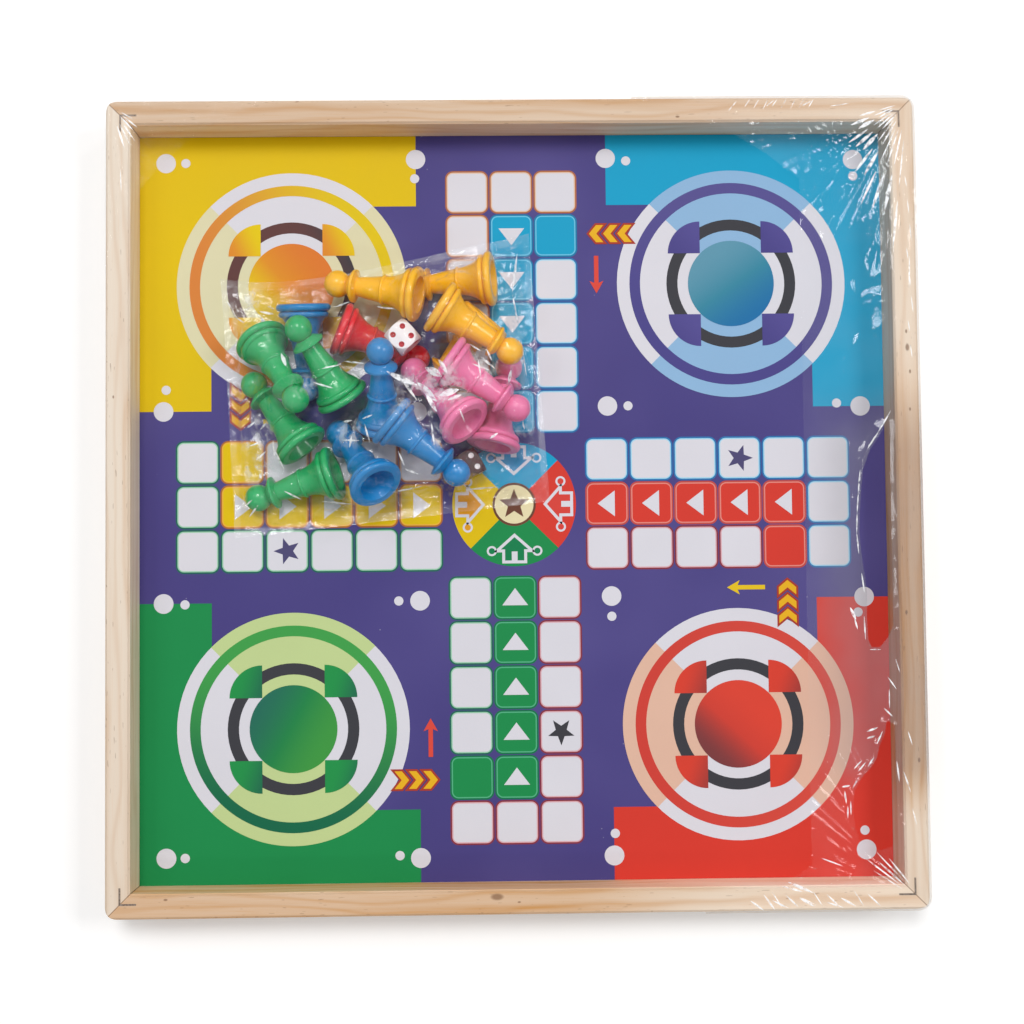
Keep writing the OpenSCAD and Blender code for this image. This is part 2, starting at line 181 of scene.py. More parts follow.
class Value:
    """An output in a finish's node tree; arithmetic on it adds Math nodes."""

    def __init__(self, finish, socket):
        self.finish, self.socket = finish, socket

    def math(self, operation, *others):
        return self.finish.node("ShaderNodeMath", {"operation": operation}, dict(enumerate((self, *others))))

    def flipped(self, operation, first):
        return self.finish.node("ShaderNodeMath", {"operation": operation}, {0: first, 1: self})

    def __add__(self, other):
        return self.math("ADD", other)

    def __sub__(self, other):
        return self.math("SUBTRACT", other)

    def __mul__(self, other):
        return self.math("MULTIPLY", other)

    def __truediv__(self, other):
        return self.math("DIVIDE", other)

    def __pow__(self, other):
        return self.math("POWER", other)

    def __rsub__(self, other):
        return self.flipped("SUBTRACT", other)

    def __rtruediv__(self, other):
        return self.flipped("DIVIDE", other)

    def __rpow__(self, other):
        return self.flipped("POWER", other)

    def __mod__(self, other):
        return self.math("FLOORED_MODULO", other)

    def __rmod__(self, other):
        return self.flipped("FLOORED_MODULO", other)

    def __abs__(self):
        return self.math("ABSOLUTE")

    __radd__ = __add__
    __rmul__ = __mul__

    def sine(self):
        return self.math("SINE")

    def least(self, other):
        return self.math("MINIMUM", other)

    def most(self, other):
        return self.math("MAXIMUM", other)

    def rise(self, low, high):
        """Smooth step from 0 at low to 1 at high."""
        smooth = {"interpolation_type": "SMOOTHSTEP"}
        return self.finish.node("ShaderNodeMapRange", smooth, {0: self, 1: low, 2: high, 3: 0.0, 4: 1.0})


class Finish:
    """A material, or with "worlds" a world, and its node tree."""

    def __init__(self, name, library="materials"):
        self.owner = getattr(bpy.data, library).new(name)
        self.owner.use_nodes = True
        self.tree = self.owner.node_tree
        self.tree.nodes.clear()

    def node(self, kind, settings=None, inputs=None, out=0):
        """Adds a node: its settings first, then values or links of its sockets."""
        made = self.tree.nodes.new(kind)
        for key, value in (settings or {}).items():
            if key == "stops":
                ramp = made.color_ramp.elements
                while len(ramp) < len(value):
                    ramp.new(1.0)
                for stop, (at, colour) in zip(ramp, value):
                    stop.position, stop.color = at, colour
            else:
                setattr(made, key, value)
        for key, value in (inputs or {}).items():
            if isinstance(value, Value):
                self.tree.links.new(value.socket, made.inputs[key])
            else:
                made.inputs[key].default_value = value
        return Value(self, made.outputs[out]) if made.outputs else None

    def place(self):
        """Place on the object in millimetres, as three values."""
        spot = self.node("ShaderNodeTexCoord", out=3)
        parts = self.node("ShaderNodeSeparateXYZ", inputs={0: spot}).socket.node
        return [Value(self, socket) * 1000.0 for socket in parts.outputs]

    def vector(self, x, y, z):
        return self.node("ShaderNodeCombineXYZ", inputs={0: x, 1: y, 2: z})

    def noise(self, x, y, z, detail=2.0, rough=0.5, twist=0.0):
        values = {"Vector": self.vector(x, y, z), "Scale": 1.0, "Detail": detail}
        return self.node("ShaderNodeTexNoise", inputs={**values, "Roughness": rough, "Distortion": twist})

    def cells(self, x, y, z):
        """Distance to the nearest of scattered points."""
        return self.node("ShaderNodeTexVoronoi", inputs={"Vector": self.vector(x, y, z), "Scale": 1.0})

    def mix(self, share, first, second, blend="MIX", clamp=True):
        """Colour mix of two colours, given as links or linear values."""
        settings = {"data_type": "RGBA", "blend_type": blend, "clamp_factor": clamp}
        return self.node("ShaderNodeMix", settings, {0: share, 6: first, 7: second}, 2)

    def layer(self, share, under, over):
        """Mix of two shaders."""
        return self.node("ShaderNodeMixShader", inputs={0: share, 1: under, 2: over})

    def shade(self, colour, tone):
        """A colour made lighter or darker by a value around one."""
        grey = self.node("ShaderNodeCombineColor", inputs={0: tone, 1: tone, 2: tone})
        return self.mix(1.0, colour, grey, "MULTIPLY")

    def bump(self, height, depth, strength=1.0):
        """Normal from a height of 0 to 1 that stands for depth millimetres."""
        values = {"Height": height, "Distance": depth * MM, "Strength": strength}
        return self.node("ShaderNodeBump", inputs=values)

    def surface(self, **sockets):
        values = {key.replace("_", " "): value for key, value in sockets.items()}
        return self.end(self.node("ShaderNodeBsdfPrincipled", inputs=values))

    def seen(self):
        """One for rays that show the backdrop: from the camera, a mirror or a clear film."""
        rays = self.node("ShaderNodeLightPath").socket.node.outputs
        kinds = ("Camera", "Glossy", "Transmission")
        camera, mirror, through = (Value(self, rays[f"Is {kind} Ray"]) for kind in kinds)
        return camera.most(mirror).most(through)

    def end(self, shader, output="ShaderNodeOutputMaterial"):
        self.node(output, inputs={"Surface": shader})
        return self.owner


def pine(name, wood, along, seed, warmth, tone, inside, fades, knots):
    """Planed softwood with its grain along X or Y.

    Its warmth goes where the fades lead, and inside is painted light and shade on the face towards the print:
    above one it is made lighter, below one darker, as light would fall on it.
    """
    f = Finish(name)
    x, y, z = f.place()
    run, side = (x, y) if along == "X" else (y, x)
    warp = f.noise(run * 0.011 + seed, side * 0.05, z * 0.05, 2.0)
    rings = ((side * 0.8 + z * 0.45 + warp * 16.0 + seed) * 1.5).sine() * 0.5 + 0.5
    late = rings**3.0
    broad = f.noise(run * 0.006 + seed * 2.0, side * 0.16, z * 0.16, 2.0)
    fibre = f.noise(run * 0.06 + seed, side * 3.4, z * 3.4, 3.0, 0.6)
    share = late * 0.34 + broad.rise(0.35, 0.72) * 0.5 + fibre.rise(0.45, 0.8) * 0.3
    for first, last in fades:
        warmth = (1.0 - run.rise(first, last)) * warmth
    colour = f.mix(share * wood.streaks + warmth, linear(wood.pale), linear(wood.warm), clamp=False)
    edge = abs(side).rise(HALF - 1.6, HALF - 0.2)
    ticks = f.noise(run * 0.42 + seed * 5.0, side * 1.4, z * 0.6, 1.0).rise(0.70, 0.76)
    pores = f.noise(run * 0.30 + seed * 7.0, side * 2.2, z * 2.2, 0.0).rise(0.80, 0.83)
    dark = (edge * ticks * 0.6).most(pores * 0.4)
    for at, across, size in knots:
        wide = (run - at) / (size * 1.9) + (fibre - 0.5) * 0.35
        deep = (side - across) / size + (warp - 0.5) * 0.3
        spot = 1.0 - (wide * wide + deep * deep).rise(0.15, 1.0)
        dark = dark.most(spot * 0.75)
    joint = 1.0 - abs(abs(x) - abs(y)).rise(0.08, 0.30)
    colour = f.mix(dark.most(joint * 0.85), colour, linear(wood.knot))
    # Painted light and shade: the face towards the print is made lighter or darker by the inside factor
    inner = 1.0 - abs(side).rise(INNER + 0.02, INNER + 0.3)
    colour = f.shade(colour, (tone * 0.94 + fibre * 0.12) * (1.0 + inner * (inside - 1.0)))
    relief = fibre * 0.7 + (1.0 - late) * 0.3
    return f.surface(
        Base_Color=colour,
        Roughness=0.62 + fibre * 0.16,
        Normal=f.bump(relief, 0.05),
    )


def ink(name, look, *colours, lead=None, dust=0.0):
    """Varnished print. lead(x, y, finish) goes from the first of two or three colours to the last."""
    f = Finish(name)
    x, y, _ = f.place()
    tones = [linear(colour) for colour in colours]
    colour = tones[0]
    if len(tones) == 2:
        colour = f.mix(lead(x, y, f), *tones)
    elif len(tones) == 3:
        stops = list(zip((0.0, 0.5, 1.0), tones))
        colour = f.node("ShaderNodeValToRGB", {"stops": stops}, {0: lead(x, y, f)})
    mottle = f.noise(x * 0.035, y * 0.035, 0.0, 2.0)
    tooth = f.noise(x * 2.6, y * 2.6, 0.0, 2.0, 0.6)
    colour = f.shade(colour, 0.86 + mottle * 0.08 + tooth * 0.05)
    if dust:
        grain = f.cells(x * 0.16, y * 0.16, 0.0)
        some = f.noise(x * 0.07 + 40.0, y * 0.07, 0.0, 0.0).rise(0.5, 0.7)
        colour = f.mix((1.0 - grain.rise(0.018, 0.04)) * some * dust, colour, linear((0.9, 0.9, 0.92)))
    wave = f.noise(x * 0.02, y * 0.02, 3.0, 1.0)
    return f.surface(
        Base_Color=colour,
        Roughness=look.gloss + tooth * 0.08 + (mottle - 0.5) * 0.12,
        Normal=f.bump(tooth * 0.08 + wave, 0.35, 0.6),
        Specular_IOR_Level=0.15,
    )


def moulded(name, colour, rough, seed=0.0):
    """Glossy moulded plastic with faint flow marks."""
    f = Finish(name)
    x, y, z = f.place()
    flow = f.noise(x * 0.12 + seed, y * 0.12, z * 0.12, 2.0, 0.5, 0.6)
    skin = f.noise(x * 1.3, y * 1.3, z * 1.3, 2.0)
    return f.surface(
        Base_Color=f.shade(linear(colour), 0.90 + flow * 0.20),
        Roughness=rough + skin * 0.10,
        Normal=f.bump(skin * 0.3 + flow, 0.12, 0.5),
        Specular_IOR_Level=0.35,
        Coat_Weight=0.2,
        Coat_Roughness=0.08,
    )


def clear_film(name, size, depth, veil, painted_shade=0.0, gloss=1.0, painted_sheens=()):
    """Thin clear film: its crumpled facets mirror and the rest lets light through."""
    f = Finish(name)
    x, y, z = f.place()
    bend = f.noise(x * size * 0.7, y * size * 0.7, z * size * 0.7, 2.0)
    facets = [f.cells(x * s + bend * 1.3, y * s - bend * 1.1, z * s * 0.5) for s in (size, size * 2.6)]
    normal = f.bump(facets[0] + facets[1] * 0.4, depth)
    mirror = f.node("ShaderNodeFresnel", inputs={"IOR": 1.33, "Normal": normal})
    cloud = f.noise(x * 0.06, y * 0.06, z * 0.06, 2.0)
    glint = f.node(
        "ShaderNodeBsdfPrincipled",
        inputs={"Base Color": (1, 1, 1, 1), "Metallic": 1.0, "Roughness": 0.08, "Normal": normal},
    )
    clear = f.node("ShaderNodeBsdfTransparent", inputs={"Color": (0.99, 0.993, 0.995, 1)})
    milk = f.node("ShaderNodeBsdfDiffuse", inputs={"Color": (0.86, 0.88, 0.90, 1), "Normal": normal})
    white = cloud.rise(0.3, 0.75) * veil
    sheen_crumple = f.noise(x * 0.28 + bend * 2.0, y * 0.2, z * 0.2, 3.0, 0.6).rise(0.4, 0.64)
    # Painted sheen: crumpled patches of milky white at given places stand in for glare on the film
    for across, along, reach, strength in painted_sheens:
        away = ((x - across) ** 2.0 + (y - along) ** 2.0) ** 0.5 / reach
        white = white.most((1 - away.rise(0.2, 1.0)) * sheen_crumple * strength)
    body = f.layer(white, clear, milk)
    if painted_shade:
        # Painted shade: a dark grey layer darkens the stretch of film beside the right rail, clear of the
        # skirt, in place of a shadow on that stretch
        painted_shade_grey = f.node("ShaderNodeBsdfDiffuse", inputs={"Color": (0.21, 0.21, 0.23, 1), "Normal": normal})
        near = (1 - y.rise(14, 48)) * y.rise(-114, -94) * z.rise(RAIL_TOP - 3, RAIL_TOP - 1)
        near = near * (0.75 + cloud * 0.5) * (0.04 + x.rise(107, 124) * 0.96) * painted_shade
        body = f.layer(near, body, painted_shade_grey)
    return f.end(f.layer(mirror.least(0.4) * gloss, body, glint))


def painted_glint_fold(name):
    """Sharp folds in the film, painted white: a painted glint where they would catch the light."""
    f = Finish(name)
    x, y, z = f.place()
    flicker = f.noise(x * 0.5, y * 0.5, z * 0.5, 2.0)
    return f.surface(
        Base_Color=f.mix(flicker, (0.88, 0.91, 0.95, 1), (1, 1, 1, 1)),
        Roughness=0.25 + flicker * 0.2,
        Alpha=flicker.rise(0.2, 0.6) * 0.9,
    )


def top_at(tree, x, y):
    """Highest point of a mesh at a place, or None beside it."""
    return tree.ray_cast(Vector((x, y, 100.0)), Vector((0, 0, -1)))[0]


def folds(points, faces, lines):
    """Lens-shaped folds raised a little on a film, which carry painted glints: each line has its two ends and
    its width.
    """
    tree = BVHTree.FromPolygons([Vector(p) for p in points], faces)
    strips, quads = [], []
    rim, crest = 0.06, 0.14
    for ax, ay, bx, by, width in lines:
        start, way = Vector((ax, ay)), Vector((bx - ax, by - ay))
        side = Vector((-way.y, way.x)).normalized()
        steps = max(4, int(way.length))
        line = []
        for k in range(steps + 1):
            half = width / 2 * math.sin(math.pi * (0.04 + 0.92 * k / steps))
            for across in (-1, 0, 1):
                at = start + way * (k / steps) + side * (half * across)
                hit = top_at(tree, *at)
                if hit is None:
                    raise RuntimeError(f"a fold leaves the film at {at[:]}")
                line.append((at.x, at.y, hit.z + (rim if across else crest)))
        first = len(points) + len(strips)
        strips += line
        quads += [
            (n, n + 3, n + 4, n + 1) for n in (first + 3 * k + c for k in range(steps) for c in (0, 1))
        ]
    return strips, quads


def mesh_piece(name, points, faces, materials, body, picks=None, smooth=True):
    """A new piece from points in millimetres, riding on a body."""
    mesh = bpy.data.meshes.new(name)
    mesh.from_pydata([tuple(c * MM for c in p) for p in points], [], faces)
    for material in materials:
        mesh.materials.append(material)
    if picks is not None:
        mesh.polygons.foreach_set("material_index", picks)
    mesh.polygons.foreach_set("use_smooth", [smooth] * len(mesh.polygons))
    mesh.update()
    piece = bpy.data.objects.new(name, mesh)
    bpy.context.scene.collection.objects.link(piece)
    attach(piece, body)
    return piece


def cad(name):
    """A node of the packed frame."""
    piece = bpy.data.objects.get(name)
    if piece is None:
        raise RuntimeError(f"the frame has no node called {name}")
    return piece


def dress(name, *materials):
    """Gives a CAD node its finishes."""
    piece = cad(name)
    piece.data.materials.clear()
    for material in materials:
        piece.data.materials.append(material)
    return piece


class Art:
    """Flat printed shapes gathered into one mesh, with a finish for each ink."""

    def __init__(self):
        self.points, self.faces, self.picks = [], [], []

    def fill(self, outline, lift, pick):
        start = len(self.points)
        self.points += [(x, y, SHEET + lift) for x, y in outline]
        self.faces.append(tuple(range(start, start + len(outline))))
        self.picks.append(pick)

    def ring(self, outer, inner, lift, pick):
        start, n = len(self.points), len(outer)
        self.points += [(x, y, SHEET + lift) for x, y in [*outer, *inner]]
        for i in range(n):
            j = (i + 1) % n
            self.faces.append((start + i, start + j, start + n + j, start + n + i))
            self.picks.append(pick)

    def piece(self, name, materials, slot):
        return mesh_piece(name, self.points, self.faces, materials, "tray", self.picks, False)


def turned(points, quarter, at=(0.0, 0.0)):
    """Points turned clockwise by quarter turns, then moved."""
    for _ in range(quarter % 4):
        points = [(y, -x) for x, y in points]
    return [(x + at[0], y + at[1]) for x, y in points]


def rounded_square(width, corner, steps=7):
    """Outline of a square with rounded corners, run anticlockwise."""
    reach = width / 2 - corner
    outline = []
    for quarter in range(4):
        cx, cy = ((1, 1), (-1, 1), (-1, -1), (1, -1))[quarter]
        for k in range(steps + 1):
            a = math.pi / 2 * (quarter + k / steps)
            outline.append((cx * reach + corner * math.cos(a), cy * reach + corner * math.sin(a)))
    return outline


def circle(radius, steps, at=(0.0, 0.0)):
    angles = [2 * math.pi * k / steps for k in range(steps)]
    return [(at[0] + radius * math.cos(a), at[1] + radius * math.sin(a)) for a in angles]


def grid_faces(across, deep):
    """Four-sided faces of a grid of points, row by row."""
    corners = (0, 1, across + 1, across)
    starts = [i + j * across for j in range(deep - 1) for i in range(across - 1)]
    return [tuple(start + corner for corner in corners) for start in starts]


def grown(outline, by):
    """An outline moved outward by a distance, for outlines run anticlockwise."""
    moved, n = [], len(outline)
    for i in range(n):
        a, b, c = (Vector(outline[k % n]) for k in (i - 1, i, i + 1))
        u, v = (b - a).normalized(), (c - b).normalized()
        m, w = Vector((u.y, -u.x)), Vector((v.y, -v.x))
        out = (m + w).normalized()
        moved.append(tuple(b + out * (by / max(0.35, out.dot(m)))))
    return moved


class LUDO_OT_rails(bpy.types.Operator):
    """Give the four rails planed pine with eased edges"""

    bl_idname = "ludo.rails"
    bl_label = "Pine Rails"

    def execute(self, context):
        wood = context.scene.ludo_wood
        # Way of the grain, seed, warmth, tone, painted light and shade of the face towards the print, fades,
        # and knots: place along, across and size
        marks = {
            "front_rail": (
                "X", 3.0, 0.68, 1.03, 1.35, [(15, 80)],
                [(-128.0, -143.0, 0.5), (-8.0, -143.5, 1.5), (0.0, -145.5, 0.4)],
            ),
            "back_rail": ("X", 11.0, 0.35, 0.93, 1.25, [(50, 125)], [(62.0, 143.0, 0.5)]),
            "left_rail": ("Y", 23.0, -0.16, 0.955, 1.18, [(30, -100)], [(40.0, -147.0, 0.4)]),
            "right_rail": (
                "Y", 37.0, 0.72, 0.94, 0.84, [(10, 62), (-96, -122)],
                [(62.0, 145.7, 0.5), (56.0, 146.0, 0.9), (47.0, 146.8, 0.5), (33.0, 146.5, 0.45),
                 (-42.0, 143.5, 0.6), (-96.0, 147.0, 0.6)],
            ),
        }
        for name, mark in marks.items():
            piece = dress(name, pine("pine_" + name, wood, *mark))
            weld = piece.modifiers.new("Weld", "WELD")
            weld.merge_threshold = 1e-5
            ease = piece.modifiers.new("Eased edges", "BEVEL")
            ease.width, ease.segments, ease.limit_method = wood.edge_round, 2, "ANGLE"
            ease.angle_limit = math.radians(28)
            ease.harden_normals = True
        return {"FINISHED"}


class LUDO_OT_nails(bpy.types.Operator):
    """Give the corner nails dull steel"""

    bl_idname = "ludo.nails"
    bl_label = "Corner Nails"

    def execute(self, context):
        f = Finish("dull_steel")
        x, y, z = f.place()
        wear = f.noise(x * 1.6, y * 1.6, z * 1.6, 3.0)
        colour = f.mix(wear.rise(0.35, 0.7), linear("66564a"), linear("94887e"))
        dress("corner_v_nails", f.surface(Base_Color=colour, Metallic=0.7, Roughness=0.45 + wear * 0.2))
        return {"FINISHED"}


class LUDO_OT_floor(bpy.types.Operator):
    """Give the floor panel hardboard and the sheet its printed ground"""

    bl_idname = "ludo.floor"
    bl_label = "Floor Panel and Sheet"

    def execute(self, context):
        look = context.scene.ludo_print
        f = Finish("hardboard")
        x, y, z = f.place()
        weave = (x * 2.6).sine() * (y * 2.6).sine()
        fibre = f.noise(x * 0.5, y * 0.5, z, 4.0, 0.65)
        colour = f.mix(fibre.rise(0.3, 0.75), linear("6b4a2e"), linear("9a7450"))
        relief = f.bump(weave * 0.5 + fibre, 0.12)
        dress("floor_panel", f.surface(Base_Color=colour, Roughness=0.72 + fibre * 0.1, Normal=relief))

        def clouds(x, y, f):
            return f.noise(x * 0.012, y * 0.012, 0.0, 2.0).rise(0.35, 0.75)

        ground = ink("print_ground", look, look.ground, "554d8c", lead=clouds, dust=look.dust)
        dress("printed_sheet", ground)
        return {"FINISHED"}


class LUDO_OT_print_areas(bpy.types.Operator):
    """Print the large areas: bands, rings, hubs, pawn spots, squares and stars"""

    bl_idname = "ludo.print_areas"
    bl_label = "Printed Areas"

    def execute(self, context):
        look = context.scene.ludo_print

        def lean(corner, ax, ay, low, high):
            """Lead across a yard, from low to high along a direction."""
            cx, cy = (s * YARD for s in corner)
            return lambda x, y, f: ((x - cx) * ax + (y - cy) * ay).rise(low, high)

        def in_spot(corner, ax, ay):
            """Lead across each pawn spot of a yard, along a direction."""
            cx, cy = (s * YARD for s in corner)

            def lead(x, y, f):
                u, v = (((c + SPOT_START) % SPOT_PITCH) / SPOT_WIDE for c in (x - cx, y - cy))
                return (u * ax + v * ay).rise(0.05, 0.95)

            return lead

        # Two or three colours of each area and the direction that leads from the first to the last
        rings = {
            "yellow": ("d8823a", "e0c30c", (1, 0.25, -36, 34)),
            "blue": ("4a4487", "57508f", (0.3, 1, -36, 36)),
            "red": ("cf4036", "d44a3e", (1, 0, -36, 36)),
            "green": ("0f6647", "3f9e4a", (0.15, 1, -38, 26)),
        }
        hubs = {
            "yellow": ("e3c406", "e09024", "dd7a2c", (0.75, 0.65, -17, 15)),
            "blue": ("5f97ae", "37869f", "1b6ea6", (0.55, -0.8, -15, 17)),
            "red": ("7a3a3c", "cf4033", "dc4433", (0.75, 0.8, -17, 12)),
            "green": ("226a58", "1e8246", "3d9640", (0.8, -0.45, -16, 14)),
        }
        spots = {
            "yellow": ("df8a2a", "e6c800", (0.75, 0.35)),
            "blue": ("4a4386", "554d92", (0.5, 0.5)),
            "red": ("d8402f", "9a3a36", (0.8, -0.3)),
            "green": ("1f9048", "1c644c", (0.8, -0.25)),
        }
        for colour, corner in CORNERS.items():
            inks = [ink("ink_" + colour, look, getattr(look, colour))]
            for kind, table, lead in (("ring", rings, lean), ("hub", hubs, lean), ("spot", spots, in_spot)):
                *codes, way = table[colour]
                inks.append(ink(f"ink_{kind}_{colour}", look, *codes, lead=lead(corner, *way)))
            piece = dress("print_" + colour, *inks)
            middle = Vector((corner[0] * YARD, corner[1] * YARD))
            for polygon in piece.data.polygons:
                at = polygon.center / MM
                if at.z > SHEET + SPOT_ABOVE:
                    polygon.material_index = 2 if (at.xy - middle).length < HUB + 0.4 else 3
                elif at.z > SHEET + RING_ABOVE:
                    polygon.material_index = 1
        dress("print_white", ink("ink_white", look, look.white))

        def by_place(x, y, f):
            """Brown in the far left yard, purple on the arms to the left and right."""
            yard = (0.0 - x - abs(x + y)).rise(20, 60) * y.rise(20, 40) * 0.5
            return yard + (abs(x) - abs(y) * 3.0).rise(10, 20)

        dress("print_dark", ink("ink_dark", look, look.dark, "5f3a38", "4d4872", lead=by_place))
        return {"FINISHED"}


class LUDO_OT_cell_outlines(bpy.types.Operator):
    """Draw the two-tone outline of every square of the track"""

    bl_idname = "ludo.cell_outlines"
    bl_label = "Square Outlines"

    def execute(self, context):
        look = context.scene.ludo_print
        shades = [
            ("orange", "e3c3ac", "b0683f"),
            ("blue", "a5d8ee", "2a74b0"),
            ("maroon", "dcaab2", "87323f"),
            ("green", "9ccfb0", "1d6654"),
            ("sky", "6cc4e2", "1779a8"),
            ("coral", "e58a80", "c04a44"),
            ("leaf", "55b285", "0d7048"),
            ("amber", "eeb040", "b06a2c"),
        ]
        materials = []
        for name, inside, outside in shades:
            materials.append(ink("ink_inline_" + name, look, inside))
            materials.append(ink("ink_outline_" + name, look, outside))
        square, line, rim = (rounded_square(CELL + w, CELL_ROUND + w / 2) for w in (0.0, 0.9, 2.1))
        art = Art()
        white = [(-1, k) for k in range(6)] + [(0, 5), (1, 5)]
        own = [(1, k) for k in range(4)]
        homes = [(0, k) for k in range(5)] + [(1, 4)]
        for quarter in range(4):
            groups = ((white, quarter), (own, (quarter + 1) % 4), (homes, 4 + quarter))
            for cells, shade in groups:
                for column, k in cells:
                    at = turned([(column * PITCH, FIRST + k * PITCH)], quarter)[0]
                    a, b, c = (turned(o, 0, at) for o in (square, line, rim))
                    art.ring(b, a, OUTLINE_LIFT, 2 * shade)
                    art.ring(c, b, OUTLINE_LIFT, 2 * shade + 1)
        art.piece("cell_outlines", materials, "print_dark")
        return {"FINISHED"}


class LUDO_OT_yard_tints(bpy.types.Operator):
    """Tint two facing quarters of every yard"""

    bl_idname = "ludo.yard_tints"
    bl_label = "Yard Tints"

    def execute(self, context):
        look = context.scene.ludo_print
        tints = {"yellow": ("ddd7b0", 1), "blue": ("8fb6da", 0), "red": ("e2b8a2", 1), "green": ("c2d493", 0)}
        sweep = [math.pi / 4 + math.pi / 2 * k / 40 for k in range(41)]
        wedge = [(0.0, 0.0)] + [(YARD_ROUND * math.cos(a), YARD_ROUND * math.sin(a)) for a in sweep]
        art, materials = Art(), []
        for pick, (colour, (code, sideways)) in enumerate(tints.items()):
            materials.append(ink("ink_tint_" + colour, look, code))
            at = [s * YARD for s in CORNERS[colour]]
            for half_turn in (0, 2):
                art.fill(turned(wedge, sideways + half_turn, at), TINT_LIFT, pick)
        art.piece("yard_tints", materials, "print_white")
        return {"FINISHED"}


class LUDO_OT_signs(bpy.types.Operator):
    """Print the small signs: arrows, start chevrons, houses, dots and the middle star"""

    bl_idname = "ludo.signs"
    bl_label = "Small Signs"

    def execute(self, context):
        look = context.scene.ludo_print
        codes = (
            "dcdae2", "dc4a3c", "e6c21c", "e9b21e", "a83a2a", "0c7d4b",
            "d8433a", "e09a1c", "2b8fc0", "6a4030", "e8dcb0",
        )
        inks = [ink(f"ink_sign_{k}", look, code) for k, code in enumerate(codes)]
        white, red, yellow, gold, rust, green, coral, amber, blue, brown, cream = range(len(codes))
        art = Art()

        def stamp(shape, at, quarter, lift, pick):
            """A shape moved to its place, then turned with its side of the board."""
            art.fill(turned(turned(shape, 0, at), quarter), lift, pick)

        # Heights over the sheet, on the printed areas and in the middle, each from the lowest up
        on_area, over_area = 0.118, 0.126
        edging, disc, mark, top = 0.062, 0.070, 0.072, 0.078
        small = [
            (-123.5, 131), (-36.6, 124.6), (-131, 44.4), (44, 131), (131, 124.6), (123, 37.4),
            (36.6, -123.8), (130.5, -123.8), (-124, -36.6), (-124, -131), (-44, -131), (129.6, -42),
            (43.6, 37), (36.4, -42.6), (-43.8, -36), (-36.4, 43.4),
        ]
        large = [(35.8, 37), (36.4, -35), (-35.8, -36), (-36.4, 35.4)]
        for places, radius, steps in ((small, 1.75, 28), (large, 3.7, 40)):
            for at in places:
                art.fill(circle(radius, steps, at), on_area, white)
        arrow = [(-0.85, -7.2), (0.85, -7.2), (0.85, 3.2), (2.7, 2.4), (0, 7.2), (-2.7, 2.4), (-0.85, 3.2)]
        for quarter, colour in enumerate((red, yellow, red, yellow)):
            stamp(arrow, (-32.2, -87.3), quarter, on_area, colour)
        arm = [(-2.6, -3.3), (0.2, -3.3), (2.9, 0), (0.2, 3.3), (-2.6, 3.3), (0.1, 0)]
        for quarter in range(4):
            for k in range(3):
                chevron = turned(arm, 0, (-43.3 + 5.4 * k, -103))
                art.fill(turned(grown(chevron, 0.75), quarter), on_area, rust)
                art.fill(turned(chevron, quarter), over_area, gold)
        roof = [(3.6, -4), (3.6, 0.2), (5.2, 0.2), (0, 4.8), (-5.2, 0.2), (-3.6, 0.2)]
        house = [(-3.6, -4), (-1.1, -4), (-1.1, -0.6), (1.1, -0.6), (1.1, -4), *roof]
        shell = [(-3.6, -4), *roof]
        for quarter, colour in enumerate((green, amber, blue, coral)):
            stamp(grown(shell, 1.1), (0, -17.2), quarter, edging, white)
            stamp(house, (0, -17.2), quarter, mark, colour)
            for sidestep in (-8.6, 8.6):
                stamp(circle(1.9, 28), (sidestep, -17.6), quarter, edging, white)
                stamp(circle(1.15, 28), (sidestep, -17.6), quarter, mark, colour)
        art.fill(circle(8.2, 64), edging, brown)
        art.fill(circle(7.3, 64), disc, cream)
        star = []
        for k in range(10):
            reach = 2.5 if k % 2 else 5.9
            star.append((reach * math.sin(math.pi * k / 5), reach * math.cos(math.pi * k / 5)))
        art.fill(star[::-1], top, brown)
        art.piece("small_signs", inks, "print_white")
        return {"FINISHED"}


class LUDO_OT_pawns(bpy.types.Operator):
    """Give the pawns glossy coloured plastic"""

    bl_idname = "ludo.pawns"
    bl_label = "Pawns"

    def execute(self, context):
        look = context.scene.ludo_plastic
        made = {}
        for name in PAWNS:
            colour = name.split("_")[0]
            if colour not in made:
                seed = len(made) * 3.0
                made[colour] = moulded("plastic_" + colour, getattr(look, colour), look.gloss, seed)
            dress(name, made[colour])
        return {"FINISHED"}


class LUDO_OT_dice(bpy.types.Operator):
    """Give the dice their plastic and their pips a second colour"""

    bl_idname = "ludo.dice"
    bl_label = "Dice"

    def execute(self, context):
        look = context.scene.ludo_plastic
        dice = (("white_die", look.white, look.pip, 42), ("brown_die", look.brown, look.white, 30))
        for name, body, pip, turn in dice:
            piece = dress(name, moulded("plastic_" + name, body, 0.2), moulded("paint_" + name, pip, 0.4))
            low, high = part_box(name)
            middle = (Vector(low) + Vector(high)) / 2
            back = Matrix.Rotation(math.radians(-turn), 3, "Z")
            for polygon in piece.data.polygons:
                spot = back @ (polygon.center - middle) / MM
                sunk = max(abs(c) for c in spot) < DIE / 2 - 0.02 and spot.length < DIE * 0.71 - 0.08
                polygon.material_index = 1 if sunk else 0
        return {"FINISHED"}


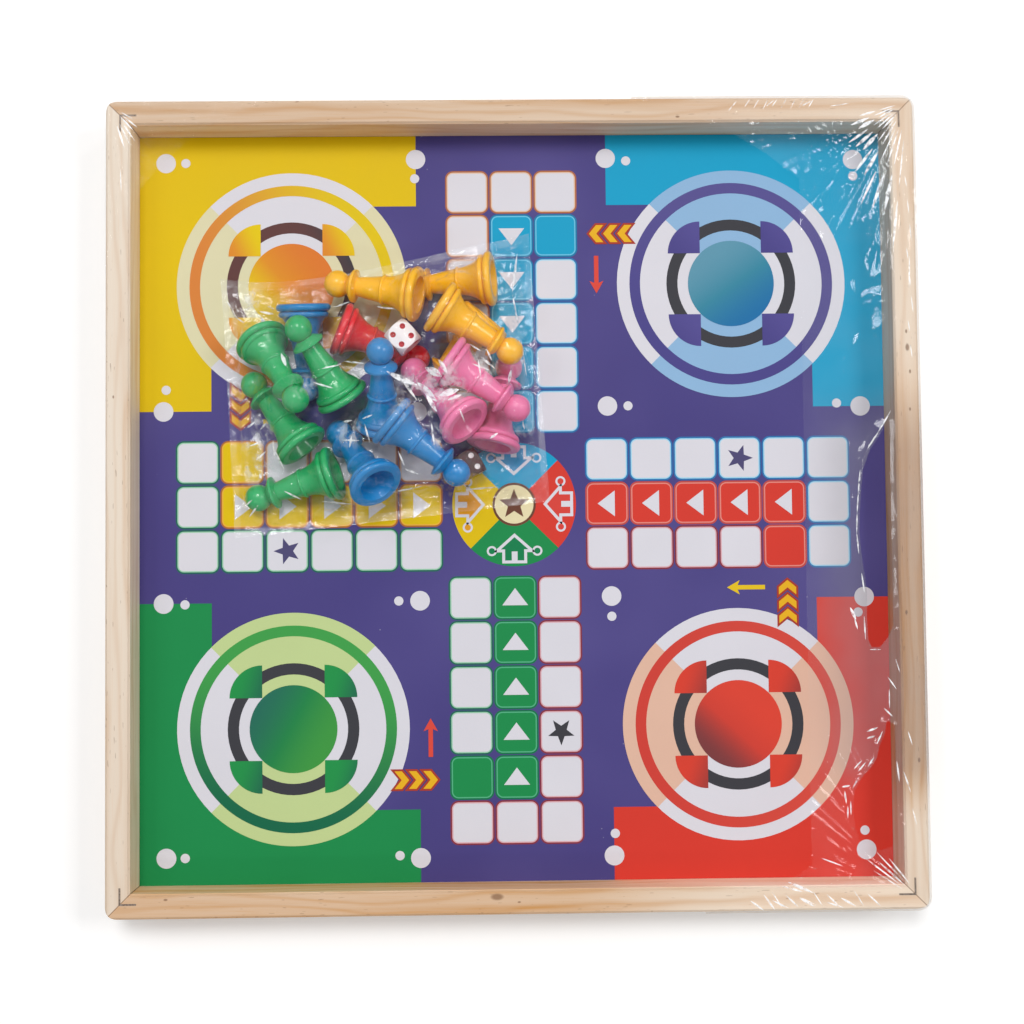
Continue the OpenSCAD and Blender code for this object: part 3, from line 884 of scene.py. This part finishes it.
class LUDO_OT_bag(bpy.types.Operator):
    """Drape the clear bag over the pieces, creased, with a welded border"""

    bl_idname = "ludo.bag"
    bl_label = "Clear Bag"

    # Corners of the flat bag, from the near left one round to the far left
    corners = ((-105.0, -12.0), (13.5, 1.0), (6.5, 102.0), (-110.0, 86.0))
    # Points across and along, width of the welded border and room between the plies
    across, deep, border, room = 150, 136, 3.0, 0.12
    # Corners that curl up: place, reach and height
    curls = ((6.5, 102.0, 16.0, 5.0), (-110.0, 86.0, 18.0, 3.0), (-105.0, -12.0, 16.0, 2.0))
    crease_seed = 5
    # Painted sheen: crumpled patches of milky white that stand in for glare on the bag: middle, reach and
    # strength
    painted_sheens = (
        (-100, 77, 10, 0.45), (-96, 27, 10, 0.6), (-95, 14, 9, 0.5), (-37, 42, 9, 0.55), (-26, 41, 12, 0.65),
        (-29, 23, 7, 0.5), (-12, 48, 9, 0.45), (-60, 25, 8, 0.5), (-40, 33, 7, 0.35), (-76, 43, 7, 0.3),
    )
    # Folds with painted glints, white strips where the film would catch the light: both ends and the width
    painted_glints = (
        (-108, 78, -104, 72, 0.8), (-106, 74, -102, 69, 0.6), (-103, 70, -99, 67, 0.6),
        (-94, 72, -88, 70, 1.0), (-91, 74, -88, 72, 0.6), (-96, 17, -92, 20, 0.8),
        (-94, 28, -91, 30, 0.8), (-99, 29, -96, 31, 0.7), (-98, 22, -94, 24, 0.8),
        (-89, 24, -88, 17, 0.7), (-88, 20, -85, 13, 0.8), (-95, 12, -94, 10, 1.1), (-99, -4, -95, 0, 0.7),
        (-100, 0, -97, 2, 0.6), (-85, 55, -83, 50, 1.4), (-73, 44, -66, 42, 0.7), (-70, 49, -63, 51, 0.6),
        (-62, 52, -54, 50, 0.6), (-60, 48, -56, 45, 0.7), (-46, 47, -35, 42, 2.2),
        (-35, 43, -28, 36, 2.4), (-32, 39, -28, 32, 1.6), (-41, 45, -35, 36, 1.0),
        (-32, 48, -26, 44, 2.6), (-27, 50, -24, 45, 1.6), (-27, 38, -20, 40, 2.4),
        (-24, 36, -19, 38, 1.6), (-30, 28, -29, 20, 0.8), (-16, 56, -12, 54, 0.7), (-12, 52, -7, 48, 1.0),
        (-15, 49, -9, 47, 0.8), (-10, 55, -8, 51, 0.7), (-13, 51, -12, 44, 0.6), (2, 94, 0, 79, 0.9),
        (-1, 48, -2, 43, 1.2), (-9, 23, -6, 25, 1.0), (3, 30, 4, 27, 0.7), (-63, 30, -59, 30, 0.9),
        (-63, 23, -56, 22, 0.7), (-60, 20, -59, 24, 0.9), (-55, 30, -51, 31, 0.7),
        (-54, 28, -52, 21, 0.7), (-40, 12, -35, 10, 0.8), (-42, 18, -40, 13, 0.7),
        (-20, 33, -18, 28, 0.6), (-66, 73, -60, 74, 0.6), (-50, 72, -43, 70, 0.6), (0, 78, 2, 66, 0.7),
        (3, 61, 5, 48, 0.7), (-85, 5, -79, 2, 0.7), (-71, 1, -60, 0, 0.6), (-45, 4, -34, 6, 0.6),
        (-18, 5, -6, 6, 0.6),
    )

    def spot(self, u, v):
        """Place in the flat bag, from its shares across and along."""
        a, b, c, d = (Vector(p) for p in self.corners)
        flat = (a * (1 - u) + b * u) * (1 - v) + (d * (1 - u) + c * u) * v
        return flat - Vector((0, 30.0 * u * (1 - u) ** 2 * v**5))

    def tops(self, grid):
        """Height of the pieces under every point of the grid."""
        points, faces = [], []
        for name in (*PAWNS, *DICE):
            mesh, start = cad(name).data, len(points)
            points += [v.co / MM for v in mesh.vertices]
            faces += [[start + k for k in p.vertices] for p in mesh.polygons]
        tree = BVHTree.FromPolygons(points, faces)
        heights = np.full(grid.shape[:2], -1.0)
        for j in range(grid.shape[0]):
            for i in range(grid.shape[1]):
                hit = top_at(tree, *grid[j, i])
                if hit is not None:
                    heights[j, i] = hit.z
        return heights

    def drape(self, grid, tops, room, slope, rest):
        """A taut sheet over the pieces, no steeper than slope between them."""
        sheet = np.where(tops > 0, tops + room, rest)
        step = 0.5 * (np.linalg.norm(grid[0, 1] - grid[0, 0]) + np.linalg.norm(grid[1, 0] - grid[0, 0]))
        fall, diagonal = math.tan(slope), 1.414
        for _ in range(60):
            before = sheet.copy()
            for axis in (0, 1):
                for way in (1, -1):
                    moved = np.roll(sheet, way, axis) - step * fall
                    sheet = np.maximum(sheet, moved)
            for way in (1, -1):
                for other in (1, -1):
                    moved = np.roll(np.roll(sheet, way, 0), other, 1) - diagonal * step * fall
                    sheet = np.maximum(sheet, moved)
            if np.array_equal(before, sheet):
                break
        for _ in range(5):
            around = (np.roll(sheet, way, axis) for axis in (0, 1) for way in (1, -1))
            soft = sum(around, 2 * sheet) / 6
            sheet = np.where(tops > 0, np.maximum(soft, tops + 0.5 * room), soft)
        return sheet

    def crease(self, x, y):
        """Crumpled ridges of two sizes, highest at their crests."""
        bend = Vector((x * 0.05, y * 0.05, 4.0))
        p = Vector((x * 0.11, y * 0.11, 1.0)) + 0.9 * noise.noise_vector(bend)
        q = Vector((x * 0.27, y * 0.27, 7.0)) + 0.6 * noise.noise_vector(p)
        return 1 - 2.2 * abs(noise.noise(p)) + 0.45 * (1 - 2.2 * abs(noise.noise(q)))

    def curl(self, x, y):
        """Rise towards the corners that curl up."""
        away = [(math.hypot(x - cx, y - cy) / reach, height) for cx, cy, reach, height in self.curls]
        return sum(max(0.0, 1 - share) ** 2 * height for share, height in away)

    def execute(self, context):
        look = context.scene.ludo_film
        noise.seed_set(self.crease_seed)
        us, vs = np.linspace(0, 1, self.across), np.linspace(0, 1, self.deep)
        grid = np.array([[self.spot(u, v)[:] for u in us] for v in vs])
        low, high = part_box("bag_bottom"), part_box("bag_top")
        rest = low[1][2] / MM + self.room
        tops = self.tops(grid)
        sheet = self.drape(grid, tops, look.clear / MM, look.slope, rest)
        wide = np.linalg.norm(grid[0, -1] - grid[0, 0])
        long = np.linalg.norm(grid[-1, 0] - grid[0, 0])
        edge = np.minimum(
            np.minimum(us, 1 - us)[None, :] * wide, np.minimum(vs, 1 - vs)[:, None] * long
        )
        points = []
        lift = look.crease / MM
        # The ply rises from its border at a set steepness, and its creases are lower near the edge
        steep, plain, fade, least = 2.4, 0.6, 4.0, 0.15
        for j in range(self.deep):
            for i in range(self.across):
                x, y = grid[j, i]
                free = min(1.0, max(0.0, (edge[j, i] - plain) / fade))
                wall = rest + max(0.0, edge[j, i] - self.border) * steep
                z = min(sheet[j, i], wall)
                z = max(z, tops[j, i] + 0.3) if edge[j, i] > self.border else rest
                z += lift * (least + (1 - least) * free) * max(0.0, self.crease(x, y))
                points.append((x, y, min(z + self.curl(x, y), high[1][2] / MM)))
        faces = grid_faces(self.across, self.deep)
        welded = (np.maximum(edge[:-1, :-1], edge[1:, 1:]) < self.border).ravel()
        strips, quads = folds(points, faces, self.painted_glints)
        # Clear film with painted sheen patches, painted glints on the folds, and the milky welded border
        finishes = [
            clear_film("clear_bag", 0.13, 1.1, look.bag_veil, painted_sheens=self.painted_sheens),
            painted_glint_fold("bag_painted_glint"),
            clear_film("bag_weld", 0.30, 0.9, look.weld),
        ]
        upper = mesh_piece(
            "bag_upper_ply", points + strips, faces + quads, finishes, "bag",
            [2 if weld else 0 for weld in welded] + [1] * len(quads),
        )
        upper.visible_shadow = False
        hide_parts("bag_top")
        under, step = [], 4
        rows, cols = ((*range(0, n - 1, step), n - 1) for n in (self.deep, self.across))
        for j in rows:
            for i in cols:
                x, y = grid[j, i]
                sag = noise.noise(Vector((x * 0.12, y * 0.12, 2.0)))
                lifted = points[j * self.across + i][2] - self.room if edge[j, i] < 1.0 else 0.0
                under.append((x, y, max(low[0][2] / MM + self.room + 0.1 * sag, lifted)))
        finish = clear_film("clear_bag_under", 0.12, 0.4, look.veil)
        faces = grid_faces(len(cols), len(rows))
        lower = mesh_piece("bag_lower_ply", under, faces, [finish], "bag")
        lower.visible_shadow = False
        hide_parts("bag_bottom")
        return {"FINISHED"}


class LUDO_OT_film(bpy.types.Operator):
    """Stretch what is left of the wrapping film over the right side and the far left corner"""

    bl_idname = "ludo.film"
    bl_label = "Wrapping Film"

    # Width of the band, room beside and over the rails, radius of the corners
    band, over, rise, turn = 43.0, 0.45, 0.32, 4.95
    # Length and rows of the skirt, reach of the fine mesh round a corner, folds with painted glints along
    # each rail
    hang, down, fine, rail_folds = 19.0, 24, 66, 8
    # Tears beside the right rail, as points round each tear
    tears = (
        (
            (138.6, 30.0), (135.0, 24.0), (131.1, 18.0), (128.4, 10.5), (127.5, 2.1), (126.9, -5.4),
            (126.6, -12.6), (127.2, -20.1), (128.1, -27.3), (129.0, -34.5), (128.7, -43.2), (129.0, -51.6),
            (130.2, -54.6), (133.2, -54.6), (136.2, -51.0), (138.3, -46.8),
        ),
        (
            (138.0, -82.8), (135.0, -81.3), (134.4, -85.5), (132.3, -90.3), (131.1, -95.1),
            (128.7, -98.7), (125.4, -102.3), (123.0, -106.5), (122.4, -110.7), (122.4, -115.5),
            (123.0, -120.3), (124.5, -125.1), (128.1, -127.8), (131.7, -128.4), (135.9, -127.2),
            (138.0, -124.2),
        ),
    )
    # Sides of each tear whose lifted edge gets a painted glint
    bright_sides = ((0, 1, 3, 4, 5, 6, 8, 10, 12), (2, 4, 6, 8))
    # Folds with painted glints from a corner: the corner, first and last angle, count, first and last length,
    # rows
    fans = {
        "film_right_side": (((148, 148), 196, 263, 12, 13, 30, 2), ((148, -148), 147, 128, 5, 26, 21, 1)),
        "film_far_left": (((-148, 148), -31, -72, 6, 12, 19, 1),),
    }
    # Single folds with painted glints: both ends and the width
    single_folds = {
        "film_right_side": (
            (126, 147.5, 119, 146.5, 0.5), (112, 148.5, 107, 146, 0.5), (98, 148.8, 95, 146.5, 0.4),
            (84, 148.5, 81, 145, 0.5), (147.4, 90, 147, 78, 0.5), (89, -144, 93, -149.5, 0.8),
            (84, -146, 89, -149.7, 0.8), (92, -146, 98, -149, 0.6), (102, -145, 108, -148, 0.6),
            (112, -147, 118, -149, 0.6), (98, -139.5, 107, -143.5, 1.2), (96, -141, 103, -143, 0.8),
            (110, -131, 118, -134, 0.5), (123, -40, 125, -44.5, 1.2), (124.5, -44, 125.5, -48, 0.7),
            (136, -65.5, 139, -70, 0.5), (134.5, -77, 137.5, -80, 0.6), (136.5, -70, 136.5, -77, 0.4),
            (139, -59, 140.5, -64, 0.4), (128, -85.5, 132, -84, 0.8), (128, -88, 131, -87, 0.8),
            (123, -99, 126, -96, 0.6), (124.5, -100, 127.5, -96.5, 0.5), (118.5, -105.5, 121.5, -105, 0.8),
            (119.5, -107, 120, -111.5, 0.7), (120.5, -112.5, 120.5, -117, 0.6),
            (138.5, -96, 139.5, -104, 0.6), (141, -100, 143.5, -107.5, 0.6), (143, -85.5, 144.5, -90.5, 0.5),
            (144, -113.5, 145.5, -119.5, 0.5),
        ),
        "film_far_left": ((-144.4, 124, -144, 116, 0.4),),
    }

    def bright_folds(self, name, tears):
        """Folds painted white as glints: fans from the corners, edges of the tears and single ones."""
        lines = list(self.single_folds[name])
        for (cx, cy), first, last, count, short, long, rows in self.fans[name]:
            for k in range(count):
                share = k / (count - 1)
                angle = math.radians(first + (last - first) * share)
                size = (short + (long - short) * share**2) * (0.85 + 0.3 * (k * 0.618 % 1))
                ways = ((cx, math.cos(angle)), (cy, math.sin(angle)))
                for near, far, width in ((0.45, 1.0, 0.6), (1.15, 1.7, 1.2))[:rows]:
                    ends = [c + size * r * way for r in (near, far) for c, way in ways]
                    lines.append((*ends, width * (0.7 + 0.6 * (k * 0.382 % 1))))
        for k in range(self.rail_folds if tears else 0):
            x, y, step = 92 + 5 * k, 120 - 9 * k, k % 3
            lines.append((x, -143 - 1.2 * step, x + 3.5 + step, -148.5, 0.45 + 0.2 * step))
            lines.append((146.3 + 0.7 * step, y, 146.9 + 0.7 * step, y - 4 - step, 0.4))
            lines.append((87 + 3.4 * k, 146.4 - 0.5 * step, 89 + 3.4 * k, 149.2, 0.4))
        for tear, sides in zip(tears, self.bright_sides):
            edge = grown(tear, 0.9)
            lines += [(*edge[k], *edge[k + 1], 0.5) for k in sides]
        return lines

    def web_edge(self, reach, ends):
        """Free edge of the film across the far right corner, between two distances from the right."""
        bow = 1.25 * reach
        radius = math.hypot(bow, bow - reach)
        points = []
        for k in range(31):
            x = HALF - ends[0] + (ends[0] - ends[1]) * k / 30
            points.append((x, HALF - bow + math.sqrt(radius**2 - (x - HALF + bow) ** 2)))
        return points

    def rounded(self, sx, sy):
        """Outer corner of the film, from the back or front face round to the side face."""
        centre = HALF + self.over - self.turn
        quarter = [math.radians(90 - 11.25 * k) for k in range(9)]
        turns = [(centre + self.turn * math.cos(a), centre + self.turn * math.sin(a)) for a in quarter]
        return [(sx * x, sy * y) for x, y in turns]

    def even(self, path, step):
        """Points along a path, a step apart."""
        points = []
        for (ax, ay), (bx, by) in zip(path, path[1:]):
            count = max(1, round(math.hypot(bx - ax, by - ay) / step))
            points += [(ax + (bx - ax) * k / count, ay + (by - ay) * k / count) for k in range(count)]
        return points + [path[-1]]

    def outlines(self):
        """Each film as its edge outside the rails, its free edge and its tears."""
        edge = HALF + self.over
        far, near = self.reach(1), self.reach(-1)
        rim = [(HALF - far, edge)] + self.rounded(1, 1) + self.rounded(1, -1)[::-1] + [(HALF - near, -edge)]
        free = [(x, -y) for x, y in self.web_edge(near, (near, self.band))]
        free += self.web_edge(far, (far, self.band))[::-1]
        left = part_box("film_far_left")[1][0] / MM + HALF
        corner = [(-HALF + left, edge)] + self.rounded(-1, 1) + [(-edge, HALF - left)]
        across = [(-x, y) for x, y in self.web_edge(left, (left, 0.0))][::-1]
        return {"film_right_side": (rim, free, self.tears), "film_far_left": (corner, across, ())}

    def reach(self, side):
        """Length of film along the back rail, side 1, or the front one, -1, from the node's points."""
        points = [v.co for v in cad("film_right_side").data.vertices]
        return HALF - min(p.x for p in points if p.y * side > HALF * MM) / MM

    def sheet(self, loops, seed, count):
        """Triangles in the outline and outside the tears, with wrinkles that fan out from the corners."""
        flat = [Vector(p) for loop in loops for p in loop]
        edges, start = [], 0
        for loop in loops:
            edges += [(start + k, start + (k + 1) % len(loop)) for k in range(len(loop))]
            start += len(loop)
        spots = np.array([p[:] for p in flat])
        low, high = spots.min(0), spots.max(0)
        for step, close in ((0.8, True), (2.0, False)):
            for x in np.arange(low[0] + step / 2, high[0], step):
                near = spots[np.abs(spots[:, 0] - x) < 0.6 * step]
                for y in np.arange(low[1] + step / 2, high[1], step):
                    by_corner = math.hypot(HALF - abs(x), HALF - abs(y)) < self.fine
                    if by_corner == close and (len(near) == 0 or np.abs(near[:, 1] - y).min() > 0.5 * step):
                        flat.append(Vector((x, y)))
        points, _, faces, *_ = geometry.delaunay_2d_cdt(flat, edges, [], 1, 1e-4)
        torn = [Vector(p) for loop in loops[1:] for p in loop]
        kept = []
        for face in faces:
            middle = sum((points[k] for k in face), Vector((0, 0))) / 3
            if not any(self.within(middle, loop) for loop in loops[1:]):
                kept.append(tuple(face))
        return [(p.x, p.y, self.height(p, torn, seed, count)) for p in points], kept

    def within(self, p, loop):
        """Whether a point lies inside a closed line."""
        odd = False
        for (ax, ay), (bx, by) in zip(loop, loop[1:] + loop[:1]):
            if (ay > p.y) != (by > p.y) and p.x < (bx - ax) * (p.y - ay) / (by - ay) + ax:
                odd = not odd
        return odd

    def height(self, p, torn, seed, count):
        """Height of the film: over the rails, sagging between them, crested along its wrinkles."""
        corner = Vector((math.copysign(HALF - 2, p.x), math.copysign(HALF - 2, p.y)))
        out = p - corner
        r, angle = out.length, math.atan2(out.y, out.x)
        ripple = noise.noise(Vector((angle * count / 1.6, r * 0.018, seed)))
        ripple += 0.6 * noise.noise(Vector((angle * count / 0.7, r * 0.03, seed + 9)))
        crest = max(0.0, 1 - 2 * abs(ripple)) * min(0.9, 0.72 * r / count) * (0.25 + 0.75 * min(1.0, r / 12))
        inward = INNER - max(abs(p.x), abs(p.y))
        lift = RAIL_TOP + self.rise + crest * (0.45 if inward < 0 else 1.0) / (1 + (r / 60) ** 2)
        if inward > 0:
            lift -= 1.1 * min(1.0, inward / 14)
            lift += 0.5 * noise.noise(Vector((p.x * 0.11, p.y * 0.03, seed + 4)))
        if torn:
            gap = min((p - t).length for t in torn)
            lift += 1.1 * math.exp(-((gap / 1.4) ** 2)) * max(0.0, min(1.0, inward / 5))
        return lift

    def skirt(self, rim, seed, start):
        """The film down the outside of the rails."""
        points, faces = [], []
        for k, (x, y) in enumerate(rim):
            way = Vector(rim[min(k + 1, len(rim) - 1)]) - Vector(rim[max(k - 1, 0)])
            out = Vector((-way.y, way.x)).normalized()
            out *= math.copysign(1, out.dot(Vector((x, y))))
            for j in range(self.down):
                t = j / (self.down - 1)
                puff = 0.08 + 0.25 * t * (0.5 + noise.noise(Vector((k * 0.23, t * 2.0, seed))))
                hem = 1.6 * noise.noise(Vector((k * 0.06, 3.0, seed))) * t
                z = RAIL_TOP + self.rise - (self.hang + hem) * t
                points.append((x + out.x * puff, y + out.y * puff, z))
        for k in range(len(rim) - 1):
            for n in range(start + k * self.down, start + (k + 1) * self.down - 1):
                faces.append((n, n + self.down, n + self.down + 1, n + 1))
        return points, faces

    def execute(self, context):
        look = context.scene.ludo_film
        # White strips on the folds are painted glints
        fold = painted_glint_fold("painted_glint_fold")
        for seed, (name, (rim, free, tears)) in enumerate(self.outlines().items()):
            # The right film carries the painted shade; the far left one mirrors less
            painted_shade, gloss = (look.painted_shade, 1.0) if tears else (0.0, 0.1)
            finish = clear_film("clear_" + name, 0.10, 0.3, look.veil, painted_shade, gloss)
            rim = self.even(rim, 2.0)
            loops = [rim + self.even(free, 2.0)] + [self.even(list(t) + [t[0]], 1.5)[:-1] for t in tears]
            points, faces = self.sheet(loops, 5.0 * seed, look.wrinkles)
            strips, quads = folds(points, faces, self.bright_folds(name, tears))
            points, faces = points + strips, faces + quads
            more, others = self.skirt(rim, 5.0 * seed + 2.0, len(points))
            picks = [0] * (len(faces) - len(quads)) + [1] * len(quads) + [0] * len(others)
            piece = mesh_piece(
                name + "_sheet", points + more, faces + others, [finish, fold], "tray", picks
            )
            piece.visible_shadow = False
            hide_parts(name)
            side = sum((Vector(p) - Vector(q)).length for p, q in zip(rim, rim[1:])) * MM
        return {"FINISHED"}


class LUDO_OT_stage(bpy.types.Operator):
    """Set the floor, the soft light and the camera"""

    bl_idname = "ludo.stage"
    bl_label = "Stage"

    def lamp(self, name, spot, aim, size, power, narrow=None):
        data = bpy.data.lights.new(name, "AREA")
        data.shape, data.size, data.energy = "RECTANGLE" if narrow else "DISK", size, power
        data.size_y = narrow or size
        lamp = bpy.data.objects.new(name, data)
        lamp.location = spot
        lamp.rotation_mode = "QUATERNION"
        lamp.rotation_quaternion = (Vector(aim) - Vector(spot)).to_track_quat("-Z", "Y")
        bpy.context.scene.collection.objects.link(lamp)

    def execute(self, context):
        scene, look = context.scene, context.scene.ludo_stage
        scene.view_settings.view_transform = "Standard"
        mesh = bpy.data.meshes.new("floor")
        mesh.from_pydata([(-3, -3, 0), (3, -3, 0), (3, 3, 0), (-3, 3, 0)], [], [(0, 1, 2, 3)])
        floor = bpy.data.objects.new("floor", mesh)
        floor.location.z = -0.0002
        scene.collection.objects.link(floor)
        f = Finish("floor")
        matt = f.node("ShaderNodeBsdfDiffuse", inputs={"Color": linear(look.floor)})
        glow = f.node("ShaderNodeEmission", inputs={"Color": (1, 1, 1, 1), "Strength": f.seen() * 0.15})
        mesh.materials.append(f.end(f.node("ShaderNodeAddShader", inputs={0: matt, 1: glow})))
        f = Finish("studio", "worlds")
        level = f.node("ShaderNodeMix", inputs={0: f.seen(), 2: look.sky, 3: 1.0})
        sky = f.node("ShaderNodeBackground", inputs={"Strength": level})
        scene.world = f.end(sky, "ShaderNodeOutputWorld")
        self.lamp("key", (-0.2, 0.8, 2.2), (0, 0, 0), 0.7, look.key)
        self.lamp("fill", (1.2, 0.3, 1.6), (0, 0, 0), 0.6, look.fill)
        self.lamp("tube", (-1.05, 0.75, 1.7), (0, 0, 0), 1.5, look.fill * 0.45, 0.07)
        for name, spot in (("right", (0.95, 1.0, 1.7)), ("near", (-0.8, -1.2, 1.7))):
            self.lamp("spark_" + name, spot, (0, 0, 0), 0.10, look.spark)
        camera = bpy.data.cameras.new("camera")
        camera.sensor_width, camera.lens = 36.0, look.lens
        camera.clip_start, camera.clip_end = 0.01, 20.0
        view = bpy.data.objects.new("camera", camera)
        turn = Vector((math.radians(-2.67), math.radians(0.95), math.radians(0.58)))
        spin = Matrix.Rotation(turn.length, 4, turn.normalized()).transposed()
        view.matrix_world = Matrix.Translation((-0.0110, -0.0310, 0.6111)) @ spin
        scene.collection.objects.link(view)
        scene.camera = view
        return {"FINISHED"}


class LUDO_PT_board(bpy.types.Panel):
    """Sizes, colours and steps of the ludo board"""

    bl_idname = "LUDO_PT_board"
    bl_label = "Ludo Board"
    bl_space_type = "VIEW_3D"
    bl_region_type = "UI"
    bl_category = "Ludo Board"

    def draw(self, context):
        for group in GROUPS:
            box = self.layout.box()
            box.label(text=group.__doc__)
            for key in group.__annotations__:
                box.prop(getattr(context.scene, GROUPS[group]), key)
        for step in STEPS:
            self.layout.operator(step.bl_idname)


GROUPS = {
    LudoWood: "ludo_wood",
    LudoPrint: "ludo_print",
    LudoPlastic: "ludo_plastic",
    LudoFilm: "ludo_film",
    LudoStage: "ludo_stage",
}
STEPS = (
    LUDO_OT_stage,
    LUDO_OT_rails,
    LUDO_OT_nails,
    LUDO_OT_floor,
    LUDO_OT_print_areas,
    LUDO_OT_cell_outlines,
    LUDO_OT_yard_tints,
    LUDO_OT_signs,
    LUDO_OT_pawns,
    LUDO_OT_dice,
    LUDO_OT_bag,
    LUDO_OT_film,
)


def register():
    for cls in (*GROUPS, *STEPS, LUDO_PT_board):
        bpy.utils.register_class(cls)
    for group, key in GROUPS.items():
        setattr(bpy.types.Scene, key, bpy.props.PointerProperty(type=group))


def unregister():
    for key in GROUPS.values():
        delattr(bpy.types.Scene, key)
    for cls in reversed((*GROUPS, *STEPS, LUDO_PT_board)):
        bpy.utils.unregister_class(cls)


def main():
    register()
    for step in STEPS:
        group, call = step.bl_idname.split(".")
        getattr(getattr(bpy.ops, group), call)()


if __name__ == "__main__":
    main()
